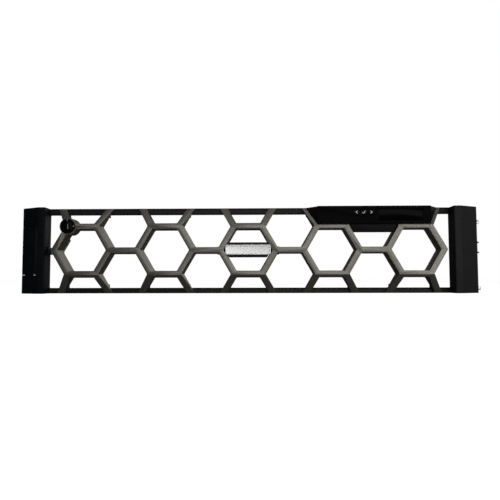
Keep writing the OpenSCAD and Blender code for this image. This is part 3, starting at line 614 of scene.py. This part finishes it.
def setScrews(master, node, axis, headSide, headRadius, headHeight, finish="screw"):
    # axis: 0 x, 1 y, 2 z; headSide: +1 or -1 along it
    pieces = []
    for number, (low, high) in enumerate(islands(node)):
        centre = (low + high) / 2
        length = (high - low)[axis]
        mesh = master.data.copy()
        side = 1 if headSide(centre) > 0 else -1
        seat = Vector(centre)
        seat[axis] = (high[axis] if side > 0 else low[axis]) - side * headHeight
        frameOf = {0: Matrix.Rotation(-math.pi / 2, 4, "Z"), 1: Matrix.Identity(4),
                   2: Matrix.Rotation(math.pi / 2, 4, "X")}[axis]
        flip = Matrix.Identity(4) if side > 0 else Matrix.Rotation(math.pi, 4, "Z" if axis < 2 else "X")
        spin = Matrix.Rotation(0.4 + number * 1.1, 4, "Y")
        size = Matrix.Diagonal((headRadius, headHeight / headRise, headRadius, 1))
        for vert in mesh.vertices:
            if vert.co.y < -0.9:  # the shank runs to the tip
                vert.co.y = -(length - headHeight) / (headHeight / headRise)
        mesh.transform(Matrix.Translation(seat) @ flip @ frameOf @ spin @ size)
        piece = bpy.data.objects.new(f"{node}_{number + 1}", mesh)
        scene.collection.objects.link(piece)
        pieces.append(piece)
    clearSelection()
    for piece in pieces:
        piece.select_set(True)
    bpy.context.view_layer.objects.active = pieces[0]
    if len(pieces) > 1:
        bpy.ops.object.join()
    joined = bpy.context.object
    joined.name = node + "_set"
    pickOnly(joined)
    bpy.ops.object.shade_smooth_by_angle(angle=math.radians(35))
    dress(joined, finish, bodyOf[node], [node])


screwMaster = makeScrew()
backwards = lambda centre: 1
setScrews(screwMaster, "grille_screws", 1, backwards, 1.7 * mm, 1.1 * mm)
setScrews(screwMaster, "badge_screws", 1, backwards, 1.9 * mm, 1.2 * mm)
setScrews(screwMaster, "cap_screws", 1, backwards, 2.4 * mm, 1.5 * mm)
setScrews(screwMaster, "cam_screw", 1, backwards, 3.2 * mm, 1.4 * mm)
setScrews(screwMaster, "module_screws", 1, backwards, 1.9 * mm, 1.2 * mm)
setScrews(screwMaster, "module_mount_screws", 1, backwards, 1.1 * mm, 1.2 * mm)
setScrews(screwMaster, "latch_screws", 0, lambda centre: -1, 1.9 * mm, 1.1 * mm)
setScrews(screwMaster, "hook_plate_screws", 0, lambda centre: -1, 2.0 * mm, 1.4 * mm)
bpy.data.objects.remove(screwMaster)
print("screws set")


# The latch springs: round wire wound close at both ends
latchSpring = {"wire": 0.35, "turns": 4.5, "radius": 2.2}


def makeSprings():
    look = latchSpring
    for number, (low, high) in enumerate(islands("latch_springs")):
        centre = (low + high) / 2
        length = high.x - low.x - 2 * look["wire"] * mm
        clearSelection()
        bpy.ops.mesh.primitive_circle_add(vertices=10, radius=look["wire"] * mm, fill_type="NOTHING",
                                          location=(0, 0, look["radius"] * mm), rotation=(math.pi / 2, 0, 0))
        wire = settle(bpy.context.object, f"latchSpring{number + 1}")
        steps = int(look["turns"] * 20)
        rings = []
        mesh = bmesh.new()
        base = [v.co.copy() for v in wire.data.vertices]
        for i in range(steps + 1):
            share = i / steps
            turn = share * look["turns"] * 2 * math.pi
            eased = share - 0.08 * math.sin(share * 2 * math.pi)  # closer at the ends
            ring = []
            for point in base:
                across, out = point.x, point.z
                ring.append(mesh.verts.new((low.x + look["wire"] * mm + eased * length + across,
                                            centre.y + out * math.sin(turn), centre.z + out * math.cos(turn))))
            rings.append(ring)
        for one, two in zip(rings, rings[1:]):
            for k in range(len(one)):
                mesh.faces.new((one[k], one[k - 1], two[k - 1], two[k]))
        mesh.faces.new(rings[0])
        mesh.faces.new(list(reversed(rings[-1])))
        bmesh.ops.recalc_face_normals(mesh, faces=mesh.faces)
        mesh.to_mesh(wire.data)
        mesh.free()
        pickOnly(wire)
        bpy.ops.object.shade_smooth_by_angle(angle=math.radians(40))
        dress(wire, "spring", "bezel", ["latch_springs"] if number == 0 else ())


makeSprings()


# The lock's face: a steel shutter behind the keyway and two index dots on the head
lockFace = {"dot": 0.42, "dotAt": 6.0, "shutter": (1.3, 4.8)}


def makeLockFace():
    look = lockFace
    low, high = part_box("lock_plug")
    headLow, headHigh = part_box("lock_barrel")
    x, z = (low.x + high.x) / 2, (headLow.z + headHigh.z) / 2
    clearSelection()
    bpy.ops.mesh.primitive_cube_add(size=1, location=(x, low.y + 1.6 * mm, z))
    shutter = bpy.context.object
    shutter.scale = (look["shutter"][0] * mm, 0.4 * mm, look["shutter"][1] * mm)
    settle(shutter, "keywayShutter")
    editMode()
    choose("FACE", facing((0, -1, 0)))
    bpy.ops.mesh.inset(thickness=0.25 * mm)
    bpy.ops.transform.translate(value=(0, 0.2 * mm, 0))
    objectMode()
    dress(shutter, "nickel", "lock_core")
    for number, angle in enumerate((90, 0)):
        dx, dz = math.cos(math.radians(angle)), math.sin(math.radians(angle))
        clearSelection()
        bpy.ops.mesh.primitive_cylinder_add(vertices=20, radius=look["dot"] * mm, depth=0.1 * mm,
                                            location=(x + dx * look["dotAt"] * mm, headLow.y + 0.03 * mm,
                                                      z + dz * look["dotAt"] * mm), rotation=(math.pi / 2, 0, 0))
        dot = settle(bpy.context.object, f"lockDot{number + 1}")
        softenEdges(dot, 0.02 * mm, 1)
        dress(dot, "print", "bezel")


makeLockFace()
print("small pieces made")


# Floor, world, lamps and camera
studio = {"floor": 0.26, "floorLift": 0.97, "ambient": 0.05, "softbox": 7.0, "ceiling": 2.2, "sideLow": 0.5,
          "rim": 0.5}


def makeFloor():
    clearSelection()
    bpy.ops.mesh.primitive_plane_add(size=12, location=(0, 3, 0))
    floor = settle(bpy.context.object, "floor")
    finish = Finish("floorPaper")
    seen = finish.add("ShaderNodeLightPath", out="Is Camera Ray")
    tone = finish.noise(0.4, 2)
    white = studio["floor"]
    finish.set(colour=finish.blend(tone, (white, white, white), (white * 0.98, white * 0.98, white * 0.98)),
               rough=0.9, specular=0.0, glow=finish.blend(seen, (0.0, 0.0, 0.0), (1.0, 1.0, 1.0)),
               glowStrength=studio["floorLift"])
    floor.data.materials.append(finish.material)


def makeWorld():
    world = bpy.data.worlds.new("studio")
    scene.world = world
    world.use_nodes = True
    tree = world.node_tree
    tree.nodes.clear()
    out = tree.nodes.new("ShaderNodeOutputWorld")
    dim = tree.nodes.new("ShaderNodeBackground")
    bright = tree.nodes.new("ShaderNodeBackground")
    mix = tree.nodes.new("ShaderNodeMixShader")
    path = tree.nodes.new("ShaderNodeLightPath")
    coords = tree.nodes.new("ShaderNodeTexCoord")
    parts = tree.nodes.new("ShaderNodeSeparateXYZ")
    behind = tree.nodes.new("ShaderNodeMapRange")
    rightward = tree.nodes.new("ShaderNodeMapRange")
    side = tree.nodes.new("ShaderNodeMath")
    glossy = tree.nodes.new("ShaderNodeMath")
    clear = tree.nodes.new("ShaderNodeMath")
    seen = tree.nodes.new("ShaderNodeMath")
    dim.inputs["Color"].default_value = (1, 1, 1, 1)
    dim.inputs["Strength"].default_value = studio["ambient"]
    bright.inputs["Color"].default_value = (1, 1, 1, 1)
    bright.inputs["Strength"].default_value = 1.0
    behind.inputs["From Min"].default_value = 0.0  # white paper behind, dark room in front
    behind.inputs["From Max"].default_value = 0.3
    rightward.inputs["From Min"].default_value = -0.15  # and a white wall on the right
    rightward.inputs["From Max"].default_value = 0.35
    side.operation = "MULTIPLY"
    glossy.operation = "MULTIPLY"
    clear.operation = "MAXIMUM"
    seen.operation = "MAXIMUM"
    link = tree.links.new
    link(coords.outputs["Generated"], parts.inputs[0])
    link(parts.outputs["Y"], behind.inputs["Value"])
    link(parts.outputs["X"], rightward.inputs["Value"])
    link(behind.outputs[0], side.inputs[0])
    link(rightward.outputs[0], side.inputs[1])
    link(path.outputs["Is Glossy Ray"], glossy.inputs[0])
    link(side.outputs[0], glossy.inputs[1])
    link(path.outputs["Is Transmission Ray"], clear.inputs[0])
    link(glossy.outputs[0], clear.inputs[1])
    link(path.outputs["Is Camera Ray"], seen.inputs[0])
    link(clear.outputs[0], seen.inputs[1])
    link(seen.outputs[0], mix.inputs[0])
    link(dim.outputs[0], mix.inputs[1])
    link(bright.outputs[0], mix.inputs[2])
    link(mix.outputs[0], out.inputs["Surface"])


def addLamp(name, place, target, power, size):
    clearSelection()
    bpy.ops.object.light_add(type="AREA", location=place)
    lamp = bpy.context.object
    lamp.name = name
    lamp.data.energy = power
    lamp.data.shape = "RECTANGLE"
    lamp.data.size, lamp.data.size_y = size
    lamp.rotation_euler = (Vector(target) - Vector(place)).to_track_quat("-Z", "Y").to_euler()
    return lamp


makeFloor()
makeWorld()
middle = (0, 0, 0.042)
addLamp("softbox", (0.30, -1.2, 0.28), middle, studio["softbox"], (1.2, 0.5))
addLamp("ceilingLamp", (0.0, -0.55, 0.95), middle, studio["ceiling"], (0.9, 0.4))
addLamp("sideLow", (0.50, -0.35, 0.03), (0.17, 0, 0.03), studio["sideLow"], (0.2, 0.1))
addLamp("rimLamp", (0.3, 0.7, 0.8), middle, studio["rim"], (0.9, 0.4))

viewpoint = {"x": 9.72, "z": -27.43, "back": 459.45, "yaw": -0.017, "pitch": 0.059, "roll": -0.002,
             "focal": 482.83}  # millimetres from the middle of the front plane, and radians
half = (cadHigh.z - cadLow.z) / 2
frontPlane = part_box("honeycomb_grille")[0].y
cameraData = bpy.data.cameras.new("camera")
camera = bpy.data.objects.new("camera", cameraData)
scene.collection.objects.link(camera)
scene.camera = camera
cameraData.sensor_width = 36
cameraData.lens = viewpoint["focal"] / 500 * 36
cameraData.clip_start = 0.01
camera.location = (viewpoint["x"] * mm, frontPlane - viewpoint["back"] * mm, half + viewpoint["z"] * mm)
camera.rotation_mode = "XYZ"
look = Matrix.Rotation(-viewpoint["yaw"], 4, "Z") @ Matrix.Rotation(math.pi / 2 + viewpoint["pitch"], 4, "X")
camera.matrix_world = (Matrix.Translation(camera.location) @ look @ Matrix.Rotation(viewpoint["roll"], 4, "Z"))
scene.view_settings.view_transform = "Standard"
print("studio ready")
